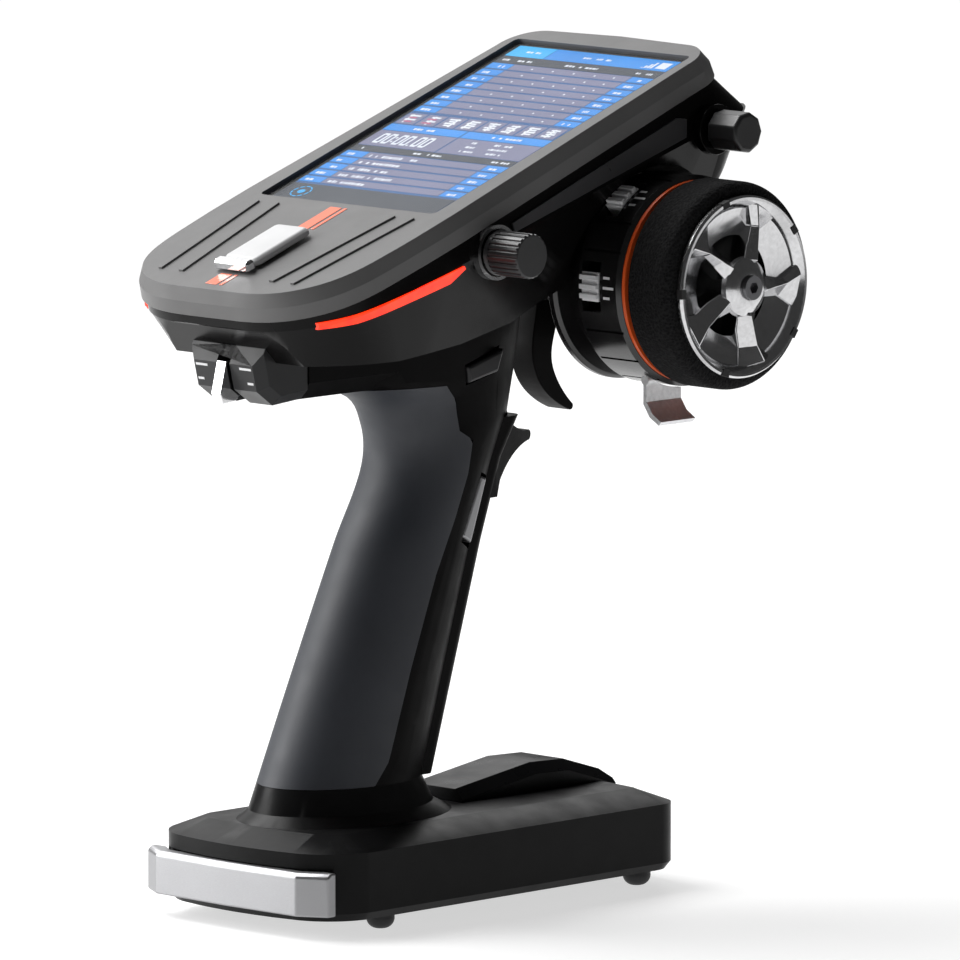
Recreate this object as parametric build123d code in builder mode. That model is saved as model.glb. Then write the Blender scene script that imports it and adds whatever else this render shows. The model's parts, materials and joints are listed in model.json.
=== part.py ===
"""Pistol-grip radio transmitter: a raked head with a touchscreen, a steering wheel on its right, a trigger
under it, a leaning grip and a weighted base that it stands on.

Frame: +Z up, +Y forwards (away from the user), +X to the wheel's side. Everything is drawn about the plane
x = 0 that halves the head, grip and base, with the table at z = 0. save() then moves each sub-part so that
the origin lies on the table under the middle of the whole object. All sizes are in millimetres.
"""

from build123d import *
from math import cos, radians, sin
import os

# ---------------------------------------------------------------- driving dimensions
ROW_ORIGIN = (14.4, 6.0, 0.0)   # middle of the whole object's box, on the table, as drawn here
WALL = 2.2                      # moulded wall thickness
GAP = 0.35                      # clearance round moving buttons
FIT = 0.05                      # radial clearance of turning shafts

# base
BASE_HALF_W = 33.0
BASE_REAR_Y, BASE_FRONT_Y = -65.0, 65.0
BASE_UNDER_Z, BASE_SPLIT_Z, BASE_WALL_Z, BASE_DECK_Z = 3.6, 10.0, 20.5, 24.0
FOOT_X, FOOT_REAR_Y, FOOT_FRONT_Y, FOOT_R = 27.0, -39.5, 51.5, 3.6
SCREW_X, SCREW_YS = 26.0, (-29.0, 40.0)
DOOR_HINGE_Y, DOOR_HINGE_R = 42.6, 1.0      # round front edge that the battery door swings on
DOOR_REAR_Y, DOOR_W = -31.6, 41.2
SPINE_HALF_W = 10.0             # raised spine on the deck
SWITCH_HALF_W = 12.6            # block under the head's tail that carries the lever

# grip: height, centre y, half width and half depth of its oval sections
GRIP_SECTIONS = [
    (33.0, -27.0, 16.8, 23.6),
    (60.0, -16.6, 16.0, 21.4),
    (90.0, -4.7, 15.2, 18.8),
    (110.0, 4.0, 15.0, 17.2),
    (120.0, 6.2, 14.8, 21.2),
    (127.0, 4.6, 14.8, 25.0),
    (132.0, -0.5, 15.2, 32.0),
    (152.0, -3.0, 16.4, 38.0),
]
RIDGE_HALF_W = 11.5             # squarer front of the grip, half width
COVER_T = 1.4                   # rubber grip cover

# head
HEAD_TILT = 19.3                # rise of the screen towards the front, degrees
HEAD_ORIGIN = (0.0, -24.3, 176.2)   # middle of the screen opening's rear edge
HEAD_FRONT_U, HEAD_REAR_U = 105.5, -53.0
SCREEN_W, SCREEN_L = 61.0, 96.9     # opening in the top cover
COVER_DEPTH = 7.0               # height of the top cover's edge
CREASE_TILT, CREASE_DROP = 16.3, 12.5   # slope of the widest line, and its depth at the screen's rear edge
TUB_DEPTH = 34.0
HEAD_SCREWS = ((-24, -14), (24, -14), (-22, 100.2), (22, 100.2))   # across, up the slope

# steering wheel
WHEEL_Y, WHEEL_Z = 51.4, 154.4
DRUM_X0, DRUM_X1, DRUM_R = 24.0, 46.0, 26.4
POCKET_R = 28.2                 # hollow in the head's flank that clears the drum
TYRE_X0, TYRE_X1, TYRE_R = 47.6, 61.8, 26.0
RIM_R, RIM_X, HUB_X = 22.8, 64.2, 67.0
SHAFT_R = 3.0

# trigger
TRIGGER_Y, TRIGGER_Z = 43.5, 150.0
TRIGGER_HALF_W = 4.0
PIN_R = 1.5

os.makedirs("parts", exist_ok=True)

# ---------------------------------------------------------------- planes and helpers
tilt = radians(HEAD_TILT)
HEAD = Plane(origin=HEAD_ORIGIN, x_dir=(1, 0, 0), z_dir=(0, -sin(tilt), cos(tilt)))
crease = radians(CREASE_TILT)
CREASE = Plane(origin=tuple(HEAD.from_local_coords((0, 0, -CREASE_DROP))), x_dir=(1, 0, 0),
               z_dir=(0, -sin(crease), cos(crease)))
DRUM = Plane(origin=(0, WHEEL_Y, WHEEL_Z), x_dir=(0, 1, 0), z_dir=(1, 0, 0))
DRUM_SIDE = Plane(origin=(0, WHEEL_Y, WHEEL_Z), x_dir=(1, 0, 0), z_dir=(0, -1, 0))
WHEEL_AXIS = Axis((0, WHEEL_Y, WHEEL_Z), (1, 0, 0))


def save(part, label):
    """Moves a finished sub-part to the object's own origin, names it and writes its STEP."""
    placed = part.moved(Location(tuple(-value for value in ROW_ORIGIN)))
    placed.label = label
    export_step(placed, f"parts/{label}.step")


def flank_plane(x):
    """The upright plane at this x, its axes up the head's slope and along the head's normal."""
    return Plane(origin=(x, HEAD_ORIGIN[1], HEAD_ORIGIN[2]), x_dir=(0, cos(tilt), sin(tilt)), z_dir=(1, 0, 0))


def head_outline(inset, nose=0.0):
    """Plan outline of the head: straight flanks, round tail; nose pushes the front corners out."""
    with BuildSketch() as outline:
        with BuildLine():
            front = Line((0, HEAD_FRONT_U - inset + nose),
                         (25.0 + nose * 0.5 - inset * 0.4, HEAD_FRONT_U - 0.9 - inset + nose))
            corner = TangentArc(front @ 1, (35.2 - inset + nose * 0.3, 93 + nose - inset * 0.4),
                                tangent=front % 1)
            Spline(corner @ 1, (36.9 - inset, 42), (38.4 - inset, 0), (37.9 - inset, -24),
                   (34.6 - inset, -40.5 + inset * 0.6),
                   (25.0 - inset * 0.6, -49.8 + inset * 0.8), (0, HEAD_REAR_U + inset),
                   tangents=[(0.05, -1), (-1, 0)])
            mirror(about=Plane.YZ)
        make_face()
    return outline.sketch


def base_outline(inset=0.0):
    """Plan outline of the base: bowed tail, slightly tapered flanks, round front corners."""
    with BuildSketch() as outline:
        with BuildLine():
            rear = ThreePointArc((0, BASE_REAR_Y), (10, BASE_REAR_Y + 0.5), (20, BASE_REAR_Y + 2.0))
            rear_corner = TangentArc(rear @ 1, (BASE_HALF_W, -49), tangent=rear % 1)
            flank = Line(rear_corner @ 1, (BASE_HALF_W - 0.5, 55))
            front_corner = TangentArc(flank @ 1, (24, BASE_FRONT_Y - 2.0), tangent=flank % 1)
            ThreePointArc(front_corner @ 1, (12, BASE_FRONT_Y - 0.5), (0, BASE_FRONT_Y))
            mirror(about=Plane.YZ)
        make_face()
        if inset:
            offset(amount=-inset)
    return outline.sketch


def grip_solid(inset):
    """The leaning grip that flares into the head, and the chin behind it, all walls moved in by inset."""
    with BuildPart() as stem:
        for height, centre_y, half_w, half_d in GRIP_SECTIONS:
            with BuildSketch(Plane.XY.offset(height)):
                with Locations((0, centre_y)):
                    Ellipse(half_w - inset, half_d - inset)
        loft(ruled=True)
    with BuildPart() as front_ridge:
        for height, centre_y, _, half_d in GRIP_SECTIONS[:5]:
            with BuildSketch(Plane.XY.offset(height)):
                with Locations((0, centre_y + (half_d - 0.6) / 2)):
                    RectangleRounded(2 * (RIDGE_HALF_W - inset), half_d - 0.6 - 2 * inset, 3.6 - inset * 0.8)
        loft(ruled=True)
    with BuildPart() as chin:
        with BuildSketch(Plane.XZ.offset(18)):
            with BuildLine():
                Polyline((0, 130.6 + inset), (8.6 - inset, 130.6 + inset), (13.0 - inset, 135.0 + inset / 2),
                         (13.0 - inset, 154), (0, 154))
                mirror(about=Plane.YZ)
            make_face()
        extrude(amount=38.0 - inset)
    return stem.part + front_ridge.part + chin.part


def head_body_solid(inset):
    """The head's lower body: a band that swells to the crease, and a tub that narrows below it."""
    with BuildPart() as band:
        with BuildSketch(HEAD.offset(-COVER_DEPTH)):
            add(head_outline(1.0 + inset))
        with BuildSketch(HEAD.offset(-45.0)):
            add(head_outline(-1.5 + inset, 18.0))
        loft(ruled=True)
        split(bisect_by=CREASE.offset(-0.01), keep=Keep.TOP)
    with BuildPart() as tub:
        with BuildSketch(CREASE.offset(0.01)):
            add(head_outline(0.9 + inset, 6.6))
        with BuildSketch(CREASE.offset(-TUB_DEPTH)):
            add(head_outline(12.5 + inset))
        loft(ruled=True)
    with BuildPart() as profile:
        with BuildSketch(Plane.YZ):
            with BuildLine():
                Polyline((-80, 190), (-77, 153), (-69.5, 149.5), (-61, 141), (-37, 141), (-14, 143),
                         (5, 146.5), (15.5, 151), (62, 166), (76, 174), (84, 186), (88, 230),
                         (-80, 230), close=True)
            make_face()
            if inset:
                offset(amount=-inset, kind=Kind.INTERSECTION)
        extrude(amount=60, both=True)
    return (band.part + tub.part) & profile.part


def rounded_box(plane, width, height, depth, radius):
    """A block with rounded corners that stands on this plane."""
    with BuildPart() as block:
        with BuildSketch(plane):
            RectangleRounded(width, height, radius)
        extrude(amount=depth)
    return block.part


def disc(plane, radius, depth, bore=0.0):
    """A disc that stands on this plane, bored through when a bore is given."""
    with BuildPart() as block:
        with BuildSketch(plane):
            Circle(radius)
            if bore:
                Circle(bore, mode=Mode.SUBTRACT)
        extrude(amount=depth)
    return block.part


def at(plane, x, y, turn=0.0):
    """This plane moved to the point x, y of itself and turned about its normal."""
    return Plane(plane * Location((x, y, 0), (0, 0, turn)))


def side_profile(points, half_width):
    """A slab across X with this outline in the YZ plane."""
    with BuildPart() as slab:
        with BuildSketch(Plane.YZ):
            with BuildLine():
                Polyline(*points, close=True)
            make_face()
        extrude(amount=half_width, both=True)
    return slab.part


# ---------------------------------------------------------------- shared envelopes
grip_outer = grip_solid(0)
head_outer = head_body_solid(0)
head_inner = head_body_solid(WALL)

# ---------------------------------------------------------------- base
with BuildPart() as base_outer:
    with BuildSketch(Plane.XY.offset(BASE_SPLIT_Z)):
        add(base_outline())
    extrude(amount=BASE_WALL_Z - BASE_SPLIT_Z)
    with BuildSketch(Plane.XY.offset(BASE_WALL_Z)):
        add(base_outline())
    with BuildSketch(Plane.XY.offset(BASE_DECK_Z)):
        add(base_outline(9.0))
    loft(ruled=True)
    with BuildSketch(Plane.XY.offset(BASE_DECK_Z - 0.6)):
        with Locations((0, -25)):
            Ellipse(23.0, 31.5)
    with BuildSketch(Plane.XY.offset(26.6)):
        with Locations((0, -26.4)):
            Ellipse(18.9, 26.4)
    with BuildSketch(Plane.XY.offset(33.0)):
        with Locations((0, GRIP_SECTIONS[0][1])):
            Ellipse(GRIP_SECTIONS[0][2], GRIP_SECTIONS[0][3])
    loft(ruled=True)

with BuildPart() as rear_bar:
    with BuildSketch(Plane.XY.offset(5.6)):
        with BuildLine():
            Polyline((0, -67.4), (24.6, -66.6), (31.8, -62.4), (31.8, -59.6), (28.0, -59.6), (23.4, -62.6),
                     (0, -63.4))
            mirror(about=Plane.YZ)
        make_face()
    extrude(amount=10.8)
    chamfer(rear_bar.faces().sort_by(Axis.Z)[-1].edges().filter_by(lambda e: e.center().Y < -63.8), 1.0)
save(rear_bar.part, "base_rear_button")

with BuildPart() as bar_room:
    with BuildSketch(Plane.XY.offset(5.6 - GAP)):
        with BuildLine():
            Polyline((0, -72), (40, -72), (40, -58.0), (27.4, -58.0), (22.8, -60.6), (0, -61.4))
            mirror(about=Plane.YZ)
        make_face()
    extrude(amount=10.8 + 2 * GAP)

with BuildPart() as base_upper_shell:
    add(base_outer.part)
    with BuildSketch(Plane.XY.offset(BASE_SPLIT_Z)):
        add(base_outline(WALL + 4.0))
    extrude(amount=BASE_WALL_Z - BASE_SPLIT_Z - 0.1, mode=Mode.SUBTRACT)
    with BuildSketch(Plane.XY.offset(BASE_WALL_Z - 1.0)):
        with Locations((0, -27)):
            Ellipse(13.0, 19.0)
    extrude(amount=20, mode=Mode.SUBTRACT)
    add(bar_room.part, mode=Mode.SUBTRACT)
    for x in (-SCREW_X, SCREW_X):
        for y in SCREW_YS:
            with BuildSketch(Plane.XY.offset(BASE_SPLIT_Z)):
                with Locations((x, y)):
                    Circle(3.2)
                    Circle(1.1, mode=Mode.SUBTRACT)
            extrude(amount=8)
            with Locations((x, y, BASE_SPLIT_Z)):
                Cylinder(1.1, 16, mode=Mode.SUBTRACT)
    add(side_profile([(6, 25.5), (6, 22.6), (62, 22.6), (62, 25.5)], 10.4), mode=Mode.SUBTRACT)
save(base_upper_shell.part, "base_upper_shell")

# raised faceted spine let into the deck in front of the grip
with BuildPart() as base_spine:
    add(side_profile([(6.4, 22.6), (6.4, 27.2), (33, 31.0), (45, 30.6), (58, 26.6), (61.6, 24.0),
                      (61.6, 22.6)], SPINE_HALF_W))
    ridges = base_spine.edges().filter_by(
        lambda e: abs(abs(e.center().X) - SPINE_HALF_W) < 0.01 and e.center().Z > 26.5)
    chamfer(ridges, 2.6)
save(base_spine.part, "base_spine")

with BuildPart() as base_lower_tray:
    with BuildSketch(Plane.XY.offset(BASE_UNDER_Z)):
        add(base_outline(1.6))
    with BuildSketch(Plane.XY.offset(BASE_UNDER_Z + 2.0)):
        add(base_outline())
    loft(ruled=True)
    with BuildSketch(Plane.XY.offset(BASE_UNDER_Z + 2.0)):
        add(base_outline())
    extrude(amount=BASE_SPLIT_Z - BASE_UNDER_Z - 2.0)
    with BuildSketch(Plane.XY.offset(BASE_UNDER_Z + 2.4)):
        add(base_outline(WALL + 4.0))
    extrude(amount=20, mode=Mode.SUBTRACT)
    add(bar_room.part, mode=Mode.SUBTRACT)
    for x in (-SCREW_X, SCREW_X):
        for y in SCREW_YS:
            with BuildSketch(Plane.XY.offset(BASE_UNDER_Z + 2.4)):
                with Locations((x, y)):
                    Circle(3.2)
            extrude(amount=BASE_SPLIT_Z - BASE_UNDER_Z - 2.4)
            with Locations((x, y, BASE_UNDER_Z)):
                Cylinder(1.1, 30, mode=Mode.SUBTRACT)
            with Locations((x, y, BASE_UNDER_Z)):
                Cylinder(2.4, 4.8, mode=Mode.SUBTRACT)
    with Locations((0, 6, BASE_UNDER_Z)):
        Box(42, 76, 12, mode=Mode.SUBTRACT)
    for x in (-FOOT_X, FOOT_X):
        for y in (FOOT_REAR_Y, FOOT_FRONT_Y):
            with Locations((x, y, BASE_UNDER_Z + 0.6)):
                Cylinder(FOOT_R, 1.2, mode=Mode.SUBTRACT)
save(base_lower_tray.part, "base_lower_tray")

with BuildPart() as battery_door:
    with Locations((0, (DOOR_HINGE_Y + DOOR_REAR_Y) / 2, BASE_UNDER_Z + DOOR_HINGE_R)):
        Box(DOOR_W, DOOR_HINGE_Y - DOOR_REAR_Y, 2 * DOOR_HINGE_R)
    with Locations(Location((0, DOOR_HINGE_Y, BASE_UNDER_Z + DOOR_HINGE_R), (0, 90, 0))):
        Cylinder(DOOR_HINGE_R, DOOR_W)
    for k in range(5):
        with Locations((0, -24 + k * 2.4, BASE_UNDER_Z)):
            Box(20, 1.0, 0.8, mode=Mode.SUBTRACT)
save(battery_door.part, "battery_door")

with BuildPart() as base_feet:
    for x in (-FOOT_X, FOOT_X):
        for y in (FOOT_REAR_Y, FOOT_FRONT_Y):
            with BuildSketch(Plane(origin=(x, y, 0), x_dir=(1, 0, 0), z_dir=(0, -1, 0))):
                with BuildLine():
                    sole = Line((0, 0), (1.4, 0))
                    dome = ThreePointArc((1.4, 0), (2.9, 0.9), (FOOT_R - 0.1, 3.0))
                    Polyline(dome @ 1, (FOOT_R - 0.1, BASE_UNDER_Z + 1.2), (0, BASE_UNDER_Z + 1.2), (0, 0))
                make_face()
            revolve(axis=Axis((x, y, 0), (0, 0, 1)))
save(base_feet.part, "base_feet")

with BuildPart() as battery_pack:
    with Locations((0, 6, 12.8)):
        Box(38, 68, 13.2)
    fillet(battery_pack.edges().filter_by(Axis.Y), 3.0)
save(battery_pack.part, "battery_pack")

with BuildPart() as battery_socket:
    with Locations((0, -32.6, 12.0)):
        Box(14, 6, 9)
    with Locations((0, -29.8, 12.0)):
        Box(11, 1.2, 6, mode=Mode.SUBTRACT)
save(battery_socket.part, "battery_socket")

with BuildPart() as base_screws:
    for x in (-SCREW_X, SCREW_X):
        for y in SCREW_YS:
            with Locations((x, y, BASE_UNDER_Z + 7.2)):
                Cylinder(1.05, 12)
            with Locations((x, y, BASE_UNDER_Z + 1.6)):
                Cylinder(2.2, 1.6)
            with Locations((x, y, BASE_UNDER_Z + 1.0)):
                Cylinder(0.8, 1.2, mode=Mode.SUBTRACT)
save(base_screws.part, "base_screws")

# ---------------------------------------------------------------- grip
with BuildPart() as chin_room:
    with BuildSketch(Plane.XY.offset(120)):
        with Locations((0, -60)):
            Rectangle(27, 20)
    extrude(amount=40)

cover_zone = side_profile([(-70, 33.0), (-31, 33.0), (-26.1, 38.7), (-17.6, 61.0), (-8.1, 83.6), (-1.4, 96.5),
                           (3.5, 107.8), (5.3, 115.9), (1.1, 118.5), (-0.4, 126.5), (-4.0, 130.4),
                           (-70, 130.4)], 40)
grip_skin = (grip_outer - grip_solid(COVER_T)) & cover_zone
save(grip_skin - head_outer - chin_room.part, "grip_cover")

BUTTON_SLOT = [(9.2, 107.4), (13.0, 106.0), (6.9, 88.0), (1.6, 90.6)]
LONG_BUTTON = [(9.9, 106.4), (12.2, 105.6), (6.6, 89.6), (3.2, 91.6)]
NECK_SLOT = [(2.1, 135.0), (16.2, 138.7), (13.8, 131.9), (2.7, 129.8)]
NECK_BUTTON = [(2.6, 134.5), (15.6, 138.0), (13.5, 132.4), (3.2, 130.3)]

grip_inner = grip_solid(COVER_T + WALL)
with BuildPart() as horn:
    with BuildSketch(Plane.YZ):
        with BuildLine():
            cradle = Polyline((21.5, 126), (24, 119.8), (26.5, 117.2), (30, 115.6), (33, 114.8), (36.2, 114.6))
            tip = ThreePointArc((36.2, 114.6), (37.4, 113.2), (36.0, 112.0))
            belly = ThreePointArc(tip @ 1, (27.6, 109.8), (19.6, 104.0))
            Polyline(belly @ 1, (17.0, 97.5), (8, 97.5), (8, 126), cradle @ 0)
        make_face()
    extrude(amount=11, both=True)
with BuildPart() as horn_plan:
    with BuildSketch(Plane.XY.offset(100)):
        with BuildLine():
            Polyline((0, 40), (2.4, 40), (6.6, 29.5), (11.0, 17.5), (11.0, 0), (0, 0))
            mirror(about=Plane.YZ)
        make_face()
    extrude(amount=30)
with BuildPart() as grip_core:
    add(grip_outer)
    add(horn.part & horn_plan.part)
    add(grip_skin, mode=Mode.SUBTRACT)
    add(head_outer, mode=Mode.SUBTRACT)
    add(chin_room.part, mode=Mode.SUBTRACT)
    add(grip_inner, mode=Mode.SUBTRACT)
    for outline in (BUTTON_SLOT, NECK_SLOT):
        with BuildSketch(Plane.YZ.offset(6)):
            with BuildLine():
                Polyline(*outline, close=True)
            make_face()
        extrude(amount=14, mode=Mode.SUBTRACT)
save(grip_core.part, "grip_core")


def side_button(outline, x0, x1):
    """A push button in the grip's right wall."""
    with BuildPart() as button:
        with BuildSketch(Plane.YZ.offset(x0)):
            with BuildLine():
                Polyline(*outline, close=True)
            make_face()
        extrude(amount=x1 - x0)
        chamfer(button.faces().sort_by(Axis.X)[-1].edges(), 0.5)
    return button.part


save(side_button(LONG_BUTTON, 9.0, 13.2), "grip_button")
save(side_button(NECK_BUTTON, 11.0, 15.9), "neck_button")

with BuildPart() as wire_harness:
    with BuildLine():
        Spline((0, -27, 22.5), (0, -16.6, 60), (0, -4.7, 90), (0, 1.5, 112), (0, 4, 150))
    with BuildSketch(Plane(origin=(0, -27, 22.5), z_dir=(0, 0.25, 1))):
        Circle(2.6)
    sweep()
save(wire_harness.part, "wire_harness")

# ---------------------------------------------------------------- head shells
with BuildPart() as head_top_cover:
    with BuildSketch(HEAD):
        add(head_outline(1.8))
    with BuildSketch(HEAD.offset(-3.4)):
        add(head_outline(0.3))
    with BuildSketch(HEAD.offset(-COVER_DEPTH)):
        add(head_outline(0.0))
    loft(ruled=True)
    for x0, x1, width in ((15.0, 19.5, 1.6), (22.5, 26.5, 1.2)):
        for sign in (-1, 1):
            with BuildSketch(HEAD.offset(-1.0)):
                with BuildLine():
                    Polyline((sign * x0, -44), (sign * (x0 + width), -44), (sign * (x1 + width), -4),
                             (sign * x1, -4), close=True)
                make_face()
            extrude(amount=1.5)
    with BuildSketch(HEAD.offset(-2.8)):
        add(head_outline(2.6))
    extrude(amount=-10, mode=Mode.SUBTRACT)
    with BuildSketch(HEAD.offset(5)):
        with Locations((0, SCREEN_L / 2)):
            RectangleRounded(SCREEN_W, SCREEN_L, 1.5)
    extrude(amount=-20, mode=Mode.SUBTRACT)
    with BuildSketch(HEAD.offset(5)):
        with Locations((0, -28.5)):
            RectangleRounded(8.7, 14.7, 1.0)
    extrude(amount=-20, mode=Mode.SUBTRACT)
    for u0, u1 in ((-48.5, -42.5), (-15.0, -2.5)):
        for x0, x1 in ((-3.0, 1.0), (1.8, 2.9)):
            with BuildSketch(HEAD.offset(-0.4)):
                with Locations(((x0 + x1) / 2, (u0 + u1) / 2)):
                    Rectangle(x1 - x0, u1 - u0)
            extrude(amount=2, mode=Mode.SUBTRACT)
    for x, u in HEAD_SCREWS:
        with BuildSketch(at(HEAD, x, u).offset(-2.4)):
            Circle(1.8)
        extrude(amount=-9)
        with BuildSketch(at(HEAD, x, u).offset(-6)):
            Circle(1.0)
        extrude(amount=-6, mode=Mode.SUBTRACT)
save(head_top_cover.part, "head_top_cover")

with BuildPart() as deck_stripes:
    for u0, u1 in ((-48.5, -42.5), (-15.0, -2.5)):
        for x0, x1 in ((-3.0, 1.0), (1.8, 2.9)):
            with BuildSketch(HEAD.offset(-0.4)):
                with Locations(((x0 + x1) / 2, (u0 + u1) / 2)):
                    Rectangle(x1 - x0, u1 - u0)
            extrude(amount=0.5)
save(deck_stripes.part, "deck_stripes")

with BuildPart() as power_slider:
    with BuildSketch(HEAD.offset(0.7)):
        with Locations((0, -28.5)):
            RectangleRounded(12.0, 20.5, 2.0)
    extrude(amount=2.0)
    chamfer(power_slider.faces().sort_by(Axis(HEAD.origin, HEAD.z_dir))[-1].edges(), 0.9)
    with BuildSketch(HEAD.offset(-5.0)):
        with Locations((0, -28.5)):
            RectangleRounded(6.0, 7.0, 0.8)
    extrude(amount=6.0)
save(power_slider.part, "power_slider")

with BuildPart() as slider_lip:
    with BuildSketch(HEAD.offset(0.7)):
        with Locations((0, -40.3)):
            RectangleRounded(12.0, 3.0, 0.8)
    extrude(amount=2.4)
    chamfer(slider_lip.faces().sort_by(Axis(HEAD.origin, HEAD.z_dir))[-1].edges(), 0.6)
save(slider_lip.part, "power_slider_lip")

# ---------------------------------------------------------------- screen and electronics
save(rounded_box(at(HEAD, 0, SCREEN_L / 2).offset(-3.8), 62.2, 98.2, 1.0, 3.0), "screen_glass")
with BuildPart() as screen_mask:
    with BuildSketch(at(HEAD, 0, SCREEN_L / 2).offset(-4.2)):
        RectangleRounded(62.2, 98.2, 3.0)
        Rectangle(56.2, 93.6, mode=Mode.SUBTRACT)
    extrude(amount=0.4)
save(screen_mask.part, "screen_mask")
save(rounded_box(at(HEAD, 0, SCREEN_L / 2).offset(-6.9), 60.0, 96.0, 2.7, 2.0), "lcd_panel")

with BuildPart() as main_board:
    with BuildSketch(at(HEAD, 0, 40).offset(-11.4)):
        RectangleRounded(44, 96, 2.0)
    extrude(amount=1.6)
    with BuildSketch(at(HEAD, 0, 40).offset(-12.6)):
        with Locations((-14, 20), (12, 26), (-8, -14)):
            Rectangle(11, 11)
        with Locations((15, -4), (17, 8), (-17, 2), (4, 40)):
            Rectangle(6, 4)
    extrude(amount=1.2)
save(main_board.part, "main_board")

with BuildPart() as display_standoffs:
    for x in (-19, 19):
        for u in (4, 80):
            with BuildSketch(at(HEAD, x, u).offset(-9.8)):
                Circle(2.0)
            extrude(amount=2.9)
save(display_standoffs.part, "display_standoffs")

with BuildPart() as antenna_bar:
    with BuildSketch(at(HEAD, 0, 100.2).offset(-8.6)):
        RectangleRounded(36, 2.4, 0.5)
    extrude(amount=5.6)
save(antenna_bar.part, "antenna_bar")

save(disc(at(HEAD, -16, 40).offset(-17.2), 9.0, 4.2), "speaker")
save(disc(Plane(origin=(-20, -14, 152), x_dir=(0, 1, 0), z_dir=(1, 0, 0)), 3.6, 14.0), "vibration_motor")

with BuildPart() as head_screws:
    for x, u in HEAD_SCREWS:
        with BuildSketch(at(HEAD, x, u).offset(-17.0)):
            Circle(0.95)
        extrude(amount=9.5)
        with BuildSketch(at(HEAD, x, u).offset(-18.2)):
            Circle(2.2)
        extrude(amount=1.3)
save(head_screws.part, "head_screws")

# ---------------------------------------------------------------- light bars, side panel, side knobs
LIGHT_BAR = [(-45.5, -9.0), (-37.0, -10.0), (-1.0, -13.0), (-0.5, -14.0), (-6.0, -15.6), (-37.0, -12.5),
             (-45.5, -10.8)]
SIDE_PANEL = [(18, -10.0), (82, -10.0), (85.0, -11.5), (82.5, -15.4), (42, -13.8), (18, -12.4)]
skin_zone = head_body_solid(-0.6) - head_body_solid(1.0)


def flank_piece(points, sign):
    """The part of the head's skin inside this side-view outline, on one flank."""
    with BuildPart() as block:
        with BuildSketch(flank_plane(20.0 * sign)):
            with BuildLine():
                Polyline(*points, close=True)
            make_face()
        extrude(amount=26 * sign)
    return skin_zone & block.part


light_bar_right = flank_piece(LIGHT_BAR, 1)
light_bar_left = flank_piece(LIGHT_BAR, -1)
side_panel = flank_piece(SIDE_PANEL, 1)
save(light_bar_right, "light_bar_right")
save(light_bar_left, "light_bar_left")
save(side_panel, "side_panel")

VR_PLANE = Plane(origin=(0, -10.6, 166.2), x_dir=(0, 1, 0), z_dir=(1, 0, 0))
DIAL_PLANE = Plane(origin=(0, 68.3, 190.3), x_dir=(0, 1, 0), z_dir=(1, 0, 0))

with BuildPart() as vr_knob:
    with BuildSketch(VR_PLANE.offset(39.6)):
        Circle(5.6)
    extrude(amount=11.4)
    chamfer(vr_knob.faces().sort_by(Axis.X)[-1].edges(), 0.5)
    with BuildSketch(VR_PLANE.offset(41.0)):
        with PolarLocations(5.7, 24):
            Circle(0.42)
    extrude(amount=12, mode=Mode.SUBTRACT)
    with BuildSketch(VR_PLANE.offset(26.0)):
        Circle(3.0)
    extrude(amount=14)
save(vr_knob.part, "vr_knob")

with BuildPart() as vr_ring:
    with BuildSketch(VR_PLANE.offset(37.2)):
        Circle(6.9)
        Circle(6.0, mode=Mode.SUBTRACT)
    extrude(amount=2.0)
save(vr_ring.part, "vr_ring")
save(disc(VR_PLANE.offset(24.0), 6.0, 8.0, 3.0 + FIT), "vr_potentiometer")

with BuildPart() as front_knob:
    with BuildSketch(DIAL_PLANE.offset(39.6)):
        RegularPolygon(5.2, 9)
    extrude(amount=9.6)
    chamfer(front_knob.faces().sort_by(Axis.X)[-1].edges(), 0.6)
    with BuildSketch(DIAL_PLANE.offset(26.0)):
        Circle(2.5)
    extrude(amount=14)
save(front_knob.part, "front_knob")
save(disc(DIAL_PLANE.offset(22.0), 4.6, 8.0, 2.5 + FIT), "front_encoder")
save(disc(DIAL_PLANE.offset(36.0), 6.4, 2.6, 3.0), "front_knob_collar")

with BuildPart() as usb_socket:
    with BuildSketch(at(HEAD, 0, 0).offset(-22)):
        with Locations((0, 103.5)):
            Rectangle(9.2, 8.0)
    extrude(amount=3.4)
save(usb_socket.part, "usb_socket")

with BuildPart() as head_room:
    add(head_inner)
    with BuildSketch(DRUM.offset(18.0)):
        Circle(POCKET_R + WALL)
    extrude(amount=60, mode=Mode.SUBTRACT)

with BuildPart() as head_lower_body:
    add(head_outer)
    add(head_room.part, mode=Mode.SUBTRACT)
    with BuildSketch(DRUM.offset(20.3)):
        Circle(POCKET_R)
    extrude(amount=60, mode=Mode.SUBTRACT)
    for x, u in HEAD_SCREWS:
        with BuildSketch(at(HEAD, x, u).offset(-40)):
            Circle(2.5)
        extrude(amount=23.4, mode=Mode.SUBTRACT)
    with Locations((0, 2, 146)):
        Cylinder(5.0, 16, mode=Mode.SUBTRACT)
    add(light_bar_right, mode=Mode.SUBTRACT)
    add(light_bar_left, mode=Mode.SUBTRACT)
    add(side_panel, mode=Mode.SUBTRACT)
    with BuildSketch(VR_PLANE.offset(22.0)):
        Circle(3.3)
    extrude(amount=30, mode=Mode.SUBTRACT)
    add(vr_ring.part, mode=Mode.SUBTRACT)
    with BuildSketch(DIAL_PLANE.offset(22.0)):
        Circle(2.8)
    extrude(amount=30, mode=Mode.SUBTRACT)
    with BuildSketch(DIAL_PLANE.offset(36.0)):
        Circle(6.4)
    extrude(amount=30, mode=Mode.SUBTRACT)
    with BuildSketch(HEAD.offset(-22)):
        with Locations((0, 109)):
            Rectangle(9.2, 19)
    extrude(amount=3.4, mode=Mode.SUBTRACT)
save(head_lower_body.part, "head_lower_body")

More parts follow.
